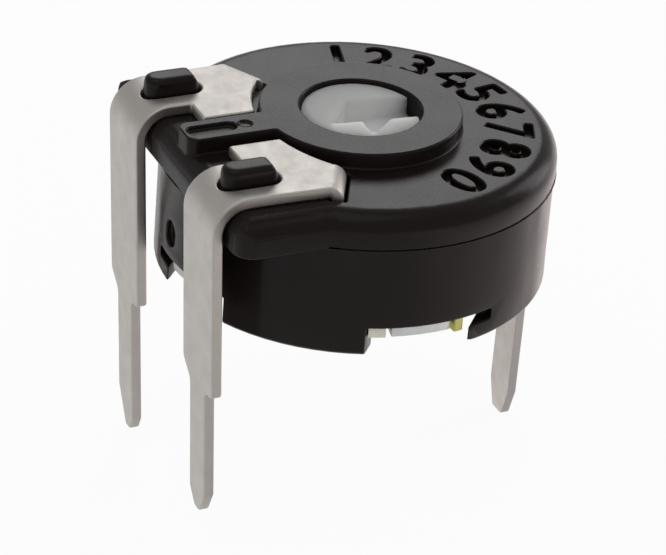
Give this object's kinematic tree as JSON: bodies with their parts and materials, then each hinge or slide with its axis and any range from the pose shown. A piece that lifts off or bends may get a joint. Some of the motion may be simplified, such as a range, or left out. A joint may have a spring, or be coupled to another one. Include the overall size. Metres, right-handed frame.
{
  "type": "trimmer potentiometer",
  "caption": "Small round single-turn trimmer with a black moulded case, a white rotor slotted for a screwdriver, and flat tinned pins for a circuit board.",
  "frame": {"origin": "rotor axis at the board plane, where the shoulder of the start pin meets the board", "axes": "+Z along the rotor axis, up to the adjusting slot; +X from the axis to the single wiper pin; the start pin lies at -X +Y and the end pin at -X -Y"},
  "size_m": [0.0106, 0.0102, 0.0104],
  "materials": {
    "black_moulding": "satin moulded thermoplastic",
    "white_moulding": "smooth milky thermoplastic",
    "tinned_sheet": "dull tin plate on stamped sheet",
    "disc_laminate": "punched cream laminate",
    "carbon_film": "printed carbon film",
    "silver_film": "printed silver film",
    "spring_alloy": "bright spring sheet"
  },
  "bodies": {
    "case_body": {"housing": "black_moulding", "resistor_disc": "disc_laminate", "carbon_track": "carbon_film", "start_pad": "silver_film", "end_pad": "silver_film", "wiper_terminal": "tinned_sheet", "start_terminal": "tinned_sheet", "end_terminal": "tinned_sheet"},
    "rotor_body": {"rotor": "white_moulding", "wiper": "spring_alloy"}
  },
  "joints": [
    {"name": "rotor_turn", "type": "hinge", "parent": "case_body", "child": "rotor_body", "pos_m": [0, 0, 0.00475], "axis": [0, 0, 1], "range_deg": [-21.5, 213.5]}
  ]
}
